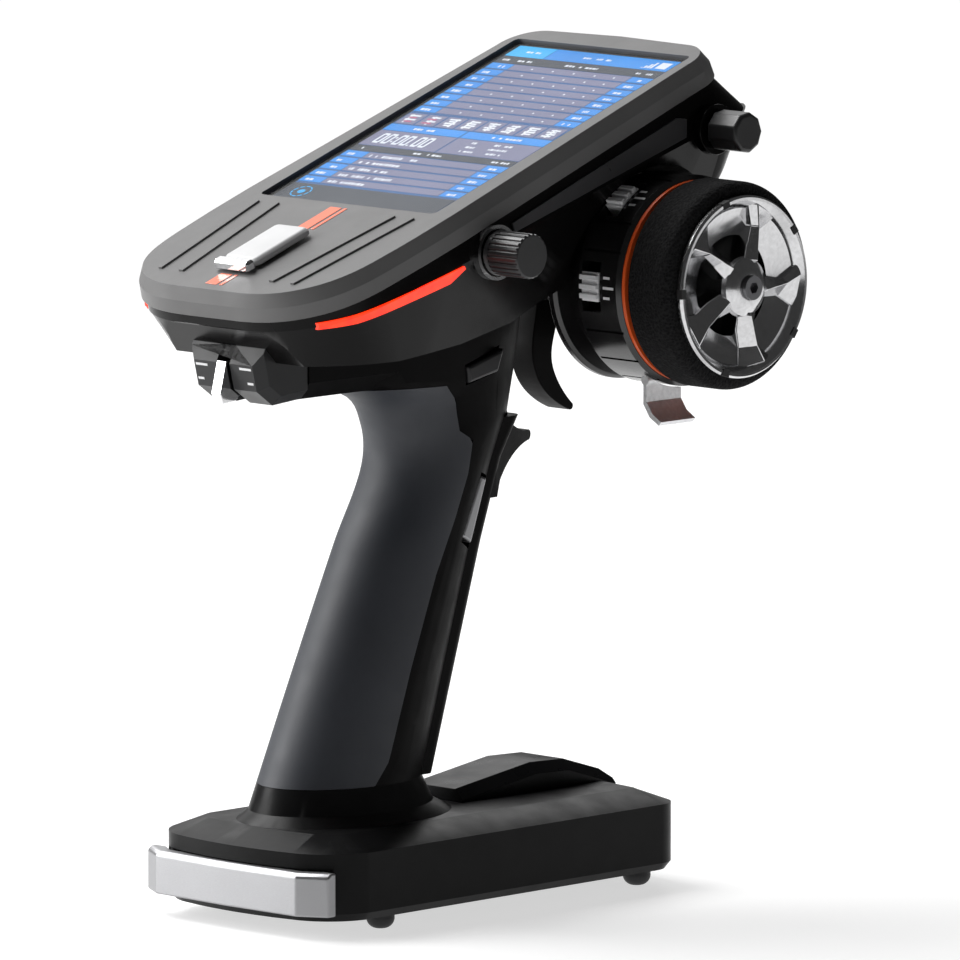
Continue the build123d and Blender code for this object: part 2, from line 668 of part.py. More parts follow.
# ---------------------------------------------------------------- rear switch
with BuildPart() as rear_switch_housing:
    add(side_profile([(-50.2, 131.0), (-60, 130.2), (-65.4, 134), (-67.0, 140.5), (-63.6, 147.2),
                      (-50.2, 147.2)], SWITCH_HALF_W))
    corners = rear_switch_housing.edges().filter_by(
        lambda e: abs(abs(e.center().X) - SWITCH_HALF_W) < 0.01 and e.center().Z < 140 and e.center().Y < -55)
    chamfer(corners, 2.4)
    add(head_outer, mode=Mode.SUBTRACT)
    add(side_profile([(-75, 124), (-75, 144.8), (-58.4, 144.8), (-56.5, 124)], 2.3), mode=Mode.SUBTRACT)
    with Locations(Location((0, -61.5, 137.5), (0, 90, 0))):
        Cylinder(1.0, 8, mode=Mode.SUBTRACT)
save(rear_switch_housing.part, "rear_switch_housing")

with BuildPart() as rear_lever:
    add(side_profile([(-59.6, 136.0), (-64.0, 131.0), (-68.6, 130.6), (-69.4, 133.0), (-67.4, 141.0),
                      (-63.2, 142.0), (-59.8, 139.5)], 1.7))
    with Locations(Location((0, -61.5, 137.5), (0, 90, 0))):
        Cylinder(1.0 + FIT, 8, mode=Mode.SUBTRACT)
save(rear_lever.part, "rear_lever")

with BuildPart() as rear_lever_pin:
    with Locations(Location((0, -61.5, 137.5), (0, 90, 0))):
        Cylinder(1.0, 8)
save(rear_lever_pin.part, "rear_lever_pin")

# ---------------------------------------------------------------- wheel: fixed parts
def ring_profile(points):
    """A turned part on the wheel's axis from its half section, given as x and radius."""
    with BuildPart() as turned:
        with BuildSketch(DRUM_SIDE):
            with BuildLine():
                Polyline(*points, close=True)
            make_face()
        revolve(axis=WHEEL_AXIS)
    return turned.part


def sector(x0, x1, r0, r1, angle, half_angle):
    """An arc block round the wheel's axis, centred at this angle above the forward direction."""
    with BuildPart() as block:
        with BuildSketch(at(DRUM, 0, 0, angle).offset(x0)):
            with BuildLine():
                inner = CenterArc((0, 0), r0, -half_angle, 2 * half_angle)
                outer = CenterArc((0, 0), r1, -half_angle, 2 * half_angle)
                Line(inner @ 0, outer @ 0)
                Line(inner @ 1, outer @ 1)
            make_face()
        extrude(amount=x1 - x0)
    return block.part


TRIM_ANGLES = (180.0, 125.0, 55.0, 0.0)

with BuildPart() as drum_housing:
    add(ring_profile([(DRUM_X0, 21.0), (31.0, 25.6), (32.0, DRUM_R), (45.0, DRUM_R), (DRUM_X1, 25.4),
                      (DRUM_X1, 6.0), (42.0, 6.0), (42.0, 8.0), (43.6, 8.0), (43.6, 24.0), (32.4, 24.0),
                      (31.6, 23.4),
                      (DRUM_X0 + 1, 19.2), (DRUM_X0, 19.2)]))
    for angle in TRIM_ANGLES:
        add(sector(33.0, 39.4, 20.0, 30.0, angle, 14.0), mode=Mode.SUBTRACT)
    for angle in (20, 38, 75, 90, 105, 143, 160, 205, 225, 245, 265, 285, 305, 325):
        add(sector(32.5, 45.2, DRUM_R - 0.5, DRUM_R + 1, angle, 0.8), mode=Mode.SUBTRACT)
save(drum_housing.part, "drum_housing")
save(ring_profile([(20.8, 6.0), (20.8, 25.6), (21.6, 26.4), (23.2, 26.4), (24.0, 25.6), (24.0, 8.0),
                   (28.0, 8.0), (28.0, 6.0)]), "drum_flange")
save(ring_profile([(46.0, 22.4), (46.0, 25.2), (47.0, 25.2), (47.0, 22.4)]), "accent_ring")
save(disc(DRUM.offset(24.0), 6.0, 4.0, SHAFT_R + FIT) + disc(DRUM.offset(42.0), 6.0, 4.0, SHAFT_R + FIT),
     "wheel_bearings")
save(disc(DRUM.offset(30.0), 9.0, 5.0, SHAFT_R + FIT), "wheel_sensor")

with BuildPart() as drum_bracket:
    add(side_profile([(32.8, 168), (33.6, 152), (38.0, 147.5), (48.0, 147.5), (50, 140), (60, 138),
                      (68, 143), (74, 156), (76, 178)], 7.6))
    with BuildSketch(Plane.YZ.offset(7.6)):
        with BuildLine():
            Polyline((36, 168), (38, 149), (48, 136), (60, 136), (70, 146), (74, 158), (75, 178), close=True)
        make_face()
    extrude(amount=13.0)
    add(head_outer, mode=Mode.SUBTRACT)
    add(side_profile([(24, 154.6), (24, 130), (57.5, 130), (57.5, 148), (51.0, 155.6)], TRIGGER_HALF_W + 0.5),
        mode=Mode.SUBTRACT)
    with Locations(Location((0, TRIGGER_Y, TRIGGER_Z), (0, 90, 0))):
        Cylinder(PIN_R, 15.2, mode=Mode.SUBTRACT)
    with BuildSketch(DRUM.offset(16.0)):
        Circle(SHAFT_R + 0.5)
    extrude(amount=6, mode=Mode.SUBTRACT)
save(drum_bracket.part, "drum_bracket")

# ---------------------------------------------------------------- wheel: turning parts
with BuildPart() as foam_tyre:
    add(ring_profile([(TYRE_X0, 20.6), (TYRE_X0, TYRE_R), (TYRE_X1, TYRE_R), (TYRE_X1, 20.6)]))
    fillet(foam_tyre.edges().filter_by(GeomType.CIRCLE).filter_by(lambda e: e.radius > 25), 2.4)
save(foam_tyre.part, "foam_tyre")

SPOKES = 5
with BuildPart() as wheel_rim:
    add(ring_profile([(TYRE_X0 + 0.2, 18.8), (TYRE_X0 + 0.2, 20.6), (TYRE_X1, 20.6), (TYRE_X1, 22.4),
                      (62.6, RIM_R), (63.8, RIM_R), (RIM_X, 22.2), (62.4, 19.2), (56.0, 18.8)]))
    for spoke in range(SPOKES):
        with BuildSketch(at(DRUM, 0, 0, 18 + spoke * 360 / SPOKES).offset(58.6)):
            with BuildLine():
                Polyline((4.0, -3.2), (19.6, -1.6), (19.6, 6.4), (12.0, 4.4), (4.0, 3.4), close=True)
            make_face()
        extrude(amount=4.2)
    add(ring_profile([(52.6, SHAFT_R), (52.6, 5.5), (63.0, 7.4), (HUB_X - 1, 4.6), (HUB_X - 1, SHAFT_R)]))
save(wheel_rim.part, "wheel_rim")

save(disc(DRUM.offset(51.2), 18.8, 1.4, SHAFT_R), "wheel_dish")
save(disc(DRUM.offset(18.0), SHAFT_R, 46.6), "wheel_shaft")
with BuildPart() as hub_screw:
    with BuildSketch(DRUM.offset(64.6)):
        Circle(SHAFT_R)
    extrude(amount=2.6)
    with BuildSketch(DRUM.offset(65.6)):
        RegularPolygon(1.5, 6)
    extrude(amount=2, mode=Mode.SUBTRACT)
save(hub_screw.part, "hub_screw")

with BuildPart() as return_spring:
    with BuildLine() as coil:
        Helix(pitch=1.1, height=4.4, radius=7.2, center=(36.4, WHEEL_Y, WHEEL_Z), direction=(1, 0, 0))
    with BuildSketch(Plane(origin=coil.line @ 0, z_dir=coil.line % 0)):
        Circle(0.4)
    sweep(is_frenet=True)
save(return_spring.part, "return_spring")

# trim rockers round the drum, each with three raised ribs
for number, angle in enumerate(TRIM_ANGLES, start=1):
    with BuildPart() as trim:
        add(sector(33.4, 39.0, 22.4, 26.6, angle, 8.0))
        for step in (-5.0, 0.0, 5.0):
            add(sector(33.4, 39.0, 26.2, 27.6, angle + step, 1.3))
    save(trim.part, f"trim_{number}")

with BuildPart() as wheel_clip:
    with BuildSketch(Plane.XZ.offset(-37.6)):
        with BuildLine():
            Polyline((42.4, 131.0), (42.4, 124.4), (44.6, 121.2), (47.8, 119.4), (48.6, 120.4), (45.6, 122.2),
                     (43.6, 125.0), (43.6, 131.0), close=True)
        make_face()
    extrude(amount=-12.4)
    with Locations(Location((43.0, 43.8, 130.4), (90, 0, 0))):
        Cylinder(1.3, 12.4)
    add(ring_profile([(30, 0), (30, DRUM_R + 0.35), (50, DRUM_R + 0.35), (50, 0)]), mode=Mode.SUBTRACT)
save(wheel_clip.part, "wheel_clip")

# ---------------------------------------------------------------- trigger
with BuildPart() as trigger:
    with BuildSketch(Plane.YZ):
        with BuildLine():
            front = Spline((47.5, 150.0), (45.6, 138.0), (44.6, 132.0), (46.8, 126.0), (51.8, 120.0))
            tip = ThreePointArc(front @ 1, (52.2, 118.8), (51.0, 118.2))
            rear = Spline(tip @ 1, (45.6, 121.0), (40.0, 126.4), (37.6, 134.0), (38.4, 141.0), (39.5, 150.0))
            Line(rear @ 1, front @ 0)
        make_face()
        with Locations((TRIGGER_Y, TRIGGER_Z)):
            Circle(4.0)
    extrude(amount=TRIGGER_HALF_W, both=True)
    with Locations(Location((0, TRIGGER_Y, TRIGGER_Z), (0, 90, 0))):
        Cylinder(PIN_R + FIT, 20, mode=Mode.SUBTRACT)
save(trigger.part, "trigger")

with BuildPart() as trigger_pin:
    with Locations(Location((0, TRIGGER_Y, TRIGGER_Z), (0, 90, 0))):
        Cylinder(PIN_R, 15.2)
save(trigger_pin.part, "trigger_pin")
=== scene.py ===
import json
from math import asin, cos, pi, radians, sin

import bmesh
import bpy
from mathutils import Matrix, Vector


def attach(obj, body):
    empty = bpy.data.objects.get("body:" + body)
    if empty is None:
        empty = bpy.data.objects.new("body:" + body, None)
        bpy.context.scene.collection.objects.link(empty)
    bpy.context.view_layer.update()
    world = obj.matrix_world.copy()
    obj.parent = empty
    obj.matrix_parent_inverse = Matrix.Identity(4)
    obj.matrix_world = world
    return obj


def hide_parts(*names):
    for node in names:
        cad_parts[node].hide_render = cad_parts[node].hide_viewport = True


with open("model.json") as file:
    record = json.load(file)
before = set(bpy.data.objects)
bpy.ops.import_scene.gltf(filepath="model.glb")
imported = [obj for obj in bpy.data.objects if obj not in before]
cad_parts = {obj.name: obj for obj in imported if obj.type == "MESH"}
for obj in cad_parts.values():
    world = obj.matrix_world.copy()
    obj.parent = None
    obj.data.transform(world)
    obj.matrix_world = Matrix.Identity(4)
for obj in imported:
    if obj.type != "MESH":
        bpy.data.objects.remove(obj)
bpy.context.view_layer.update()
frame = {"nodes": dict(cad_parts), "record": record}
MM = 0.001

# ---------------------------------------------------------------- places taken from the frame, in millimetres
NODE_BODY = {node: body for body, nodes in frame["record"]["behaviour"]["bodies"].items() for node in nodes}

# places below are drawn about the plane that halves the head; this is the frame's origin in that drawing
DRAWN_ORIGIN = Vector((14.4, 6.0, 0.0))

# the head's own axes: across, up the slope, out of the screen
TILT = radians(19.3)
HEAD_ORIGIN = Vector((0.0, -24.3, 176.2))
HEAD_U = Vector((0.0, cos(TILT), sin(TILT)))
HEAD_N = Vector((0.0, -sin(TILT), cos(TILT)))

# the wheel's axis runs along X through this point
WHEEL = Vector((0.0, 51.4, 154.4))
DRUM_R, RIM_R = 26.4, 22.8
# rear face of the lever's housing: y and z of its top edge, and how far it runs forward per unit down
LEVER_FACE = (-67.0, 140.5, 0.246)

# grip sections: height, centre y, half width, half depth
GRIP_SECTIONS = [
    (33.0, -27.0, 16.8, 23.6), (60.0, -16.6, 16.0, 21.4), (90.0, -4.7, 15.2, 18.8), (110.0, 4.0, 15.0, 17.2),
    (120.0, 6.2, 14.8, 21.2), (127.0, 4.6, 14.8, 25.0), (132.0, -0.5, 15.2, 32.0), (152.0, -3.0, 16.4, 38.0),
]
# front edge of the rubber grip cover, as y at a height
COVER_EDGE = [(33.0, -31.0), (38.7, -26.1), (61.0, -17.6), (83.6, -8.1), (96.5, -1.4), (107.8, 3.5),
              (115.9, 5.3), (118.5, 1.1), (126.5, -0.4), (130.4, -4.0)]


def head(x, u, h):
    """A point given across, up the head's slope and out of the screen."""
    return Vector((x, 0, 0)) + HEAD_ORIGIN + HEAD_U * u + HEAD_N * h


def drum(x, radius, angle):
    """A point round the wheel's axis, its angle in degrees above the forward direction."""
    return Vector((x, WHEEL.y + radius * cos(radians(angle)), WHEEL.z + radius * sin(radians(angle))))


# ---------------------------------------------------------------- materials
def new_material(name, colour, rough, metal=0.0, coat=0.0, coat_rough=0.05, sheen=0.0, specular=0.5):
    """A Principled material; returns it with its node tree and shader."""
    material = bpy.data.materials.new(name)
    material.use_nodes = True
    tree = material.node_tree
    shader = tree.nodes["Principled BSDF"]
    shader.inputs["Base Color"].default_value = (*colour, 1.0)
    shader.inputs["Roughness"].default_value = rough
    shader.inputs["Metallic"].default_value = metal
    shader.inputs["Coat Weight"].default_value = coat
    shader.inputs["Coat Roughness"].default_value = coat_rough
    shader.inputs["Sheen Weight"].default_value = sheen
    shader.inputs["Specular IOR Level"].default_value = specular
    return material, tree, shader


def noise(tree, scale, detail=4.0, stretch=None):
    """A noise texture in object space, stretched along an axis when asked."""
    coords = tree.nodes.new("ShaderNodeTexCoord")
    mapping = tree.nodes.new("ShaderNodeMapping")
    mapping.inputs["Scale"].default_value = stretch or (1.0, 1.0, 1.0)
    texture = tree.nodes.new("ShaderNodeTexNoise")
    texture.inputs["Scale"].default_value = scale
    texture.inputs["Detail"].default_value = detail
    tree.links.new(coords.outputs["Object"], mapping.inputs["Vector"])
    tree.links.new(mapping.outputs["Vector"], texture.inputs["Vector"])
    return texture.outputs["Fac"]


def ramp(tree, source, low, high, start=0.3, end=0.7):
    """Maps a 0 to 1 value onto a range between two colours or two grey levels."""
    node = tree.nodes.new("ShaderNodeValToRGB")
    node.color_ramp.elements[0].position = start
    node.color_ramp.elements[1].position = end
    node.color_ramp.elements[0].color = (*low, 1.0) if hasattr(low, "__len__") else (low, low, low, 1.0)
    node.color_ramp.elements[1].color = (*high, 1.0) if hasattr(high, "__len__") else (high, high, high, 1.0)
    tree.links.new(source, node.inputs["Fac"])
    return node.outputs["Color"]


def bump(tree, shader, source, strength, distance=0.0002):
    """Adds a bump from this value to the shader."""
    node = tree.nodes.new("ShaderNodeBump")
    node.inputs["Strength"].default_value = strength
    node.inputs["Distance"].default_value = distance
    tree.links.new(source, node.inputs["Height"])
    tree.links.new(node.outputs["Normal"], shader.inputs["Normal"])


def moulded(name, colour, rough, grain=2600.0, grain_depth=0.25, spread=0.06, tone=1.25, coat=0.0, sheen=0.0,
            specular=0.5):
    """Moulded plastic or rubber: fine spark-eroded grain, slight tone and gloss variation."""
    material, tree, shader = new_material(name, colour, rough, coat=coat, sheen=sheen, specular=specular)
    cloud = noise(tree, 38.0, 5.0)
    light = tuple(min(1.0, c * tone) for c in colour)
    tree.links.new(ramp(tree, cloud, colour, light), shader.inputs["Base Color"])
    gloss = ramp(tree, noise(tree, 140.0), max(0.02, rough - spread), rough + spread)
    tree.links.new(gloss, shader.inputs["Roughness"])
    bump(tree, shader, noise(tree, grain, 2.0), grain_depth, 0.00006)
    return material


def metal(name, colour, rough, stretch=None, scratch=0.12, coat=0.0):
    """Brushed or polished metal: streaks along one direction and a faint smudge."""
    material, tree, shader = new_material(name, colour, rough, metal=1.0, coat=coat)
    streak = noise(tree, 900.0, 3.0, stretch or (1.0, 1.0, 1.0))
    smudge = noise(tree, 60.0, 4.0)
    darker = tuple(c * 0.86 for c in colour)
    tree.links.new(ramp(tree, streak, darker, colour), shader.inputs["Base Color"])
    tree.links.new(ramp(tree, smudge, rough, rough + scratch), shader.inputs["Roughness"])
    bump(tree, shader, streak, 0.12, 0.00003)
    return material


def glowing(name, colour, edge, strength, rough=0.35, scale=60.0):
    """A lit plastic or display surface: emission that varies a little over the surface."""
    material, tree, shader = new_material(name, tuple(c * 0.5 for c in colour), rough)
    tint = ramp(tree, noise(tree, scale, 3.0), edge, colour, 0.25, 0.75)
    tree.links.new(tint, shader.inputs["Emission Color"])
    unlit = ramp(tree, noise(tree, scale), tuple(c * 0.05 for c in edge), tuple(c * 0.08 for c in colour))
    tree.links.new(unlit, shader.inputs["Base Color"])
    shader.inputs["Emission Strength"].default_value = strength
    return material


COVER = moulded("cover_satin", (0.150, 0.149, 0.149), 0.44, 3200, 0.35, tone=1.15, specular=0.15)
GLOSS = moulded("body_gloss", (0.0035, 0.0033, 0.0034), 0.20, 420, 0.02, 0.04, 1.3, specular=0.12)
DRUM_GLOSS = moulded("drum_gloss", (0.0060, 0.0058, 0.0060), 0.22, 420, 0.02, 0.04, 1.3, specular=0.7)
GRIP_SOFT = moulded("grip_soft_touch", (0.0190, 0.0215, 0.0280), 0.58, 4200, 0.30, 0.05, 1.3, specular=0.6)
CORE = moulded("grip_core_satin", (0.0026, 0.0024, 0.0025), 0.42, 3000, 0.25, specular=0.05)
BASE = moulded("base_satin", (0.0050, 0.0050, 0.0052), 0.36, 3000, 0.22, specular=0.10)
SPINE = moulded("spine_gloss", (0.006, 0.006, 0.0065), 0.30, 900, 0.05, 0.05, 1.4, specular=0.08)
BAND = moulded("side_band", (0.045, 0.045, 0.048), 0.33, 3000, 0.2)
KNOB = moulded("knob_satin", (0.020, 0.020, 0.021), 0.36, 3000, 0.2)
SWITCH = moulded("switch_grey", (0.016, 0.016, 0.017), 0.34, 3000, 0.25, specular=0.3)
SLIDER = moulded("slider_grey", (0.52, 0.52, 0.525), 0.4, 3200, 0.3)
# near-black for the screen's backing and inner parts, and also painted shade for each notch in the wheel's lip
DARK = moulded("black_and_painted_notch_shade", (0.003, 0.003, 0.0035), 0.55, 2600, 0.2)
FEET = moulded("foot_rubber", (0.008, 0.008, 0.009), 0.55, 1800, 0.35)
WHITE = moulded("trim_white", (0.72, 0.72, 0.73), 0.32, 2600, 0.1, 0.04, 1.08)
ORANGE = moulded("stripe_orange", (0.72, 0.10, 0.018), 0.32, 2600, 0.1, 0.04, 1.2, coat=0.3)
SILVER = metal("bar_silver", (0.37, 0.37, 0.38), 0.40, (1.0, 30.0, 30.0), 0.08)
CHROME = metal("chrome", (0.80, 0.80, 0.81), 0.06, None, 0.05)
CLIP_CHROME = metal("clip_chrome", (0.90, 0.90, 0.91), 0.55, None, 0.06)
RIM_CHROME = metal("rim_chrome", (0.70, 0.70, 0.71), 0.13, None, 0.06)
STEEL = metal("steel_dark", (0.22, 0.22, 0.23), 0.3, (1.0, 8.0, 8.0))
BOARD = moulded("board_green", (0.01, 0.07, 0.03), 0.4, 900, 0.3)
WRAP = moulded("battery_wrap", (0.02, 0.07, 0.22), 0.3, 900, 0.1, coat=0.4)
RED_LIGHT = glowing("light_red", (1.0, 0.042, 0.004), (1.0, 0.014, 0.001), 1.5, scale=260.0)
FOAM, foam_tree, foam_shader = new_material("wheel_foam", (0.009, 0.009, 0.0095), 0.95, specular=0.12)
cells = foam_tree.nodes.new("ShaderNodeTexVoronoi")
cells.inputs["Scale"].default_value = 1500.0
foam_coords = foam_tree.nodes.new("ShaderNodeTexCoord")
foam_tree.links.new(foam_coords.outputs["Object"], cells.inputs["Vector"])
bump(foam_tree, foam_shader, cells.outputs["Distance"], 0.8, 0.0004)
foam_dark, foam_light = (0.004, 0.004, 0.0045), (0.015, 0.015, 0.0155)
foam_tone = ramp(foam_tree, cells.outputs["Distance"], foam_dark, foam_light, 0.1, 0.8)
foam_tree.links.new(foam_tone, foam_shader.inputs["Base Color"])
GLASS, glass_tree, glass_shader = new_material("screen_glass", (0.02, 0.02, 0.025), 0.03)
glass_shader.inputs["Alpha"].default_value = 0.07
glass_shader.inputs["Specular IOR Level"].default_value = 0.1
glass_tree.links.new(ramp(glass_tree, noise(glass_tree, 90.0), 0.02, 0.06), glass_shader.inputs["Roughness"])


# ---------------------------------------------------------------- mesh helpers
def finish_piece(piece, material, body, nodes=(), smooth=32.0, bevel=0.0, segments=2, limit=28.0):
    """Shades a piece, gives it its material, rounds its edges, parents it to its body and hides the CAD nodes it
    stands in for.
    """
    piece.data.materials.clear()
    piece.data.materials.append(material)
    piece.data.shade_smooth()
    piece.data.set_sharp_from_angle(angle=radians(smooth))
    if bevel:
        rounding = piece.modifiers.new("rounding", "BEVEL")
        rounding.width = bevel * MM
        rounding.segments = segments
        rounding.limit_method = "ANGLE"
        rounding.angle_limit = radians(limit)
        rounding.use_clamp_overlap = True
        rounding.harden_normals = True
        weighted = piece.modifiers.new("weighted", "WEIGHTED_NORMAL")
        weighted.keep_sharp = True
    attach(piece, body)
    if nodes:
        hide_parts(*nodes)
    return piece


def piece_from(name, vertices, faces):
    """A new object from vertices in millimetres and faces, its normals made consistent."""
    mesh = bpy.data.meshes.new(name)
    mesh.from_pydata([tuple((Vector(v) - DRAWN_ORIGIN) * MM) for v in vertices], [], faces)
    work = bmesh.new()
    work.from_mesh(mesh)
    bmesh.ops.remove_doubles(work, verts=work.verts, dist=1e-7)
    bmesh.ops.recalc_face_normals(work, faces=work.faces)
    work.to_mesh(mesh)
    work.free()
    piece = bpy.data.objects.new(name, mesh)
    bpy.context.scene.collection.objects.link(piece)
    return piece


def refined(node, material, bevel=0.3, smooth=32.0, segments=2, name=None, limit=28.0):
    """A copy of a CAD node with clean flat faces and rounded edges, standing in for it."""
    mesh = frame["nodes"][node].data.copy()
    work = bmesh.new()
    work.from_mesh(mesh)
    bmesh.ops.remove_doubles(work, verts=work.verts, dist=2e-6)
    bmesh.ops.dissolve_limit(work, angle_limit=radians(1.5), verts=work.verts, edges=work.edges)
    work.to_mesh(mesh)
    work.free()
    piece = bpy.data.objects.new(name or node + "_fine", mesh)
    bpy.context.scene.collection.objects.link(piece)
    return finish_piece(piece, material, NODE_BODY[node], (node,), smooth, bevel, segments, limit)


def grid_faces(rows, columns, close_columns=False):
    """Quads of a grid of rows by columns, with the last column joined to the first when asked."""
    faces = []
    wrap = columns if close_columns else columns - 1
    for i in range(rows - 1):
        for j in range(wrap):
            k = (j + 1) % columns
            faces.append((i * columns + j, i * columns + k, (i + 1) * columns + k, (i + 1) * columns + j))
    return faces


def rings(name, loops, caps=(True, True)):
    """A skin through closed loops of the same length, with its ends filled when asked."""
    count = len(loops[0])
    vertices = [p for loop in loops for p in loop]
    faces = grid_faces(len(loops), count, True)
    if caps[0]:
        faces.append(tuple(range(count)))
    if caps[1]:
        faces.append(tuple(range((len(loops) - 1) * count, len(loops) * count)))
    return piece_from(name, vertices, faces)


def turned(name, profile, segments=128):
    """A turned piece on the wheel's axis from points of x and radius."""
    loops = [[drum(x, r, 360.0 * k / segments) for k in range(segments)] for x, r in profile]
    loops.append(loops[0])
    return rings(name, loops, (False, False))


def prism(name, outline, place, depth0, depth1):
    """A solid with this flat outline, its points put in place by place(a, b, depth)."""
    count = len(outline)
    vertices = [place(a, b, depth0) for a, b in outline] + [place(a, b, depth1) for a, b in outline]
    faces = [tuple(range(count)), tuple(range(count, 2 * count))]
    faces += [(k, (k + 1) % count, count + (k + 1) % count, count + k) for k in range(count)]
    return piece_from(name, vertices, faces)


def smooth_through(rows, t):
    """The values at t of a smooth curve through (t, value...) rows."""
    if t <= rows[0][0]:
        return rows[0][1:]
    if t >= rows[-1][0]:
        return rows[-1][1:]
    k = max(i for i in range(len(rows) - 1) if rows[i][0] <= t)
    a, b = rows[k], rows[k + 1]
    step = b[0] - a[0]
    s = (t - a[0]) / step
    out = []
    for c in range(1, len(a)):
        slope = (b[c] - a[c]) / step
        before = (a[c] - rows[k - 1][c]) / (a[0] - rows[k - 1][0]) if k > 0 else slope
        after = (rows[k + 2][c] - b[c]) / (rows[k + 2][0] - b[0]) if k + 2 < len(rows) else slope
        m0, m1 = (before + slope) / 2, (slope + after) / 2
        h00, h10 = 2 * s ** 3 - 3 * s ** 2 + 1, s ** 3 - 2 * s ** 2 + s
        h01, h11 = -2 * s ** 3 + 3 * s ** 2, s ** 3 - s ** 2
        out.append(h00 * a[c] + h10 * step * m0 + h01 * b[c] + h11 * step * m1)
    return out


def linear(points, t):
    """Straight interpolation in (t, value) rows."""
    for (t0, v0), (t1, v1) in zip(points, points[1:]):
        if t <= t1:
            return v0 + (v1 - v0) * max(0.0, t - t0) / (t1 - t0)
    return points[-1][1]


# ---------------------------------------------------------------- grip
def grip_point(z, angle, out=0.0):
    """A point on the grip's oval skin at this height; the angle is in degrees, 90 at the front."""
    centre, half_w, half_d = smooth_through(GRIP_SECTIONS, z)
    a = radians(angle)
    return Vector(((half_w + out) * cos(a), centre + (half_d + out) * sin(a), z))


def edge_angle(z):
    """The angle round the oval at which the rubber cover ends at this height."""
    centre, half_w, half_d = smooth_through(GRIP_SECTIONS, z)
    return asin(max(-0.995, min(0.995, (linear(COVER_EDGE, z) - centre) / half_d))) * 180.0 / pi


def build_grip():
    """The rubber cover round the back of the grip, and the satin core in front of it."""
    heights = [33.1] + [34.0 + 1.5 * k for k in range(64)] + [129.6, 130.3]
    columns = 64
    thickness = 1.2
    loops = []
    for z in heights:
        side = edge_angle(z)
        line = [180.0 - side + (180.0 + 2 * side) * j / columns for j in range(columns + 1)]
        loops.append([grip_point(z, a, 0.02) for a in line])
    inner = []
    for loop in loops:
        centre = Vector((0, smooth_through(GRIP_SECTIONS, loop[0].z)[0], loop[0].z))
        inner.append([p + (centre - p).normalized() * thickness for p in loop])
    loops = [outer + inside[::-1] for outer, inside in zip(loops, inner)]
    cover = rings("grip_cover_skin", loops)
    finish_piece(cover, GRIP_SOFT, "housing", ("grip_cover",), smooth=40.0, bevel=0.45, segments=3, limit=50)
    refined("grip_core", CORE, 0.5, 30.0, 3, limit=34)


build_grip()

# ---------------------------------------------------------------- rigid parts
refined("head_top_cover", COVER, 0.9, 40.0, 4, limit=35)
refined("head_lower_body", GLOSS, 0.8, 34.0, 3, limit=24)
refined("base_upper_shell", BASE, 1.1, 34.0, 4, limit=26)
refined("base_lower_tray", BASE, 0.5, 34.0, 3)
refined("base_spine", SPINE, 0.5, 30.0, 3, limit=20)
refined("base_rear_button", SILVER, 0.45, 30.0, 3)
refined("battery_door", BASE, 0.25)
refined("power_slider", SLIDER, 0.4, 34.0, 3)
refined("power_slider_lip", CHROME, 0.35, 34.0, 3)
refined("grip_button", SILVER, 0.3)
refined("neck_button", SWITCH, 0.3)
refined("rear_switch_housing", SWITCH, 0.45, 30.0, 3)
refined("rear_lever", CHROME, 0.35, 30.0, 3)
refined("trigger", CORE, 0.8, 34.0, 3, limit=40)
refined("drum_bracket", GLOSS, 0.8, 30.0, 3)
refined("drum_housing", DRUM_GLOSS, 0.25, 34.0, 2, limit=30)
refined("drum_flange", DRUM_GLOSS, 0.25)
refined("front_knob", KNOB, 0.35, 30.0, 3)
refined("front_knob_collar", GLOSS, 0.3)
refined("vr_knob", KNOB, 0.12, 34.0, 2)
refined("wheel_clip", CLIP_CHROME, 0.25, 34.0, 3)
for trim in range(1, 5):
    refined(f"trim_{trim}", WHITE, 0.15)
refined("deck_stripes", ORANGE, 0.08)

CARRIED = {
    "base_feet": FEET, "base_screws": STEEL, "battery_pack": WRAP, "battery_socket": DARK,
    "wire_harness": FEET, "lcd_panel": DARK, "main_board": BOARD, "display_standoffs": STEEL,
    "antenna_bar": BOARD, "speaker": STEEL, "vibration_motor": STEEL, "head_screws": STEEL,
    "light_bar_right": RED_LIGHT, "light_bar_left": RED_LIGHT, "side_panel": BAND, "vr_ring": CHROME,
    "vr_potentiometer": STEEL, "front_encoder": STEEL, "usb_socket": STEEL, "rear_lever_pin": STEEL,
    "wheel_bearings": STEEL, "wheel_sensor": STEEL, "foam_tyre": FOAM, "wheel_dish": DARK,
    "wheel_shaft": STEEL, "hub_screw": STEEL, "return_spring": STEEL, "trigger_pin": STEEL,
    "accent_ring": ORANGE,
}
for node, material in CARRIED.items():
    body_mesh = frame["nodes"][node].data
    body_mesh.materials.clear()
    body_mesh.materials.append(material)
    for polygon in body_mesh.polygons:
        polygon.material_index = 0


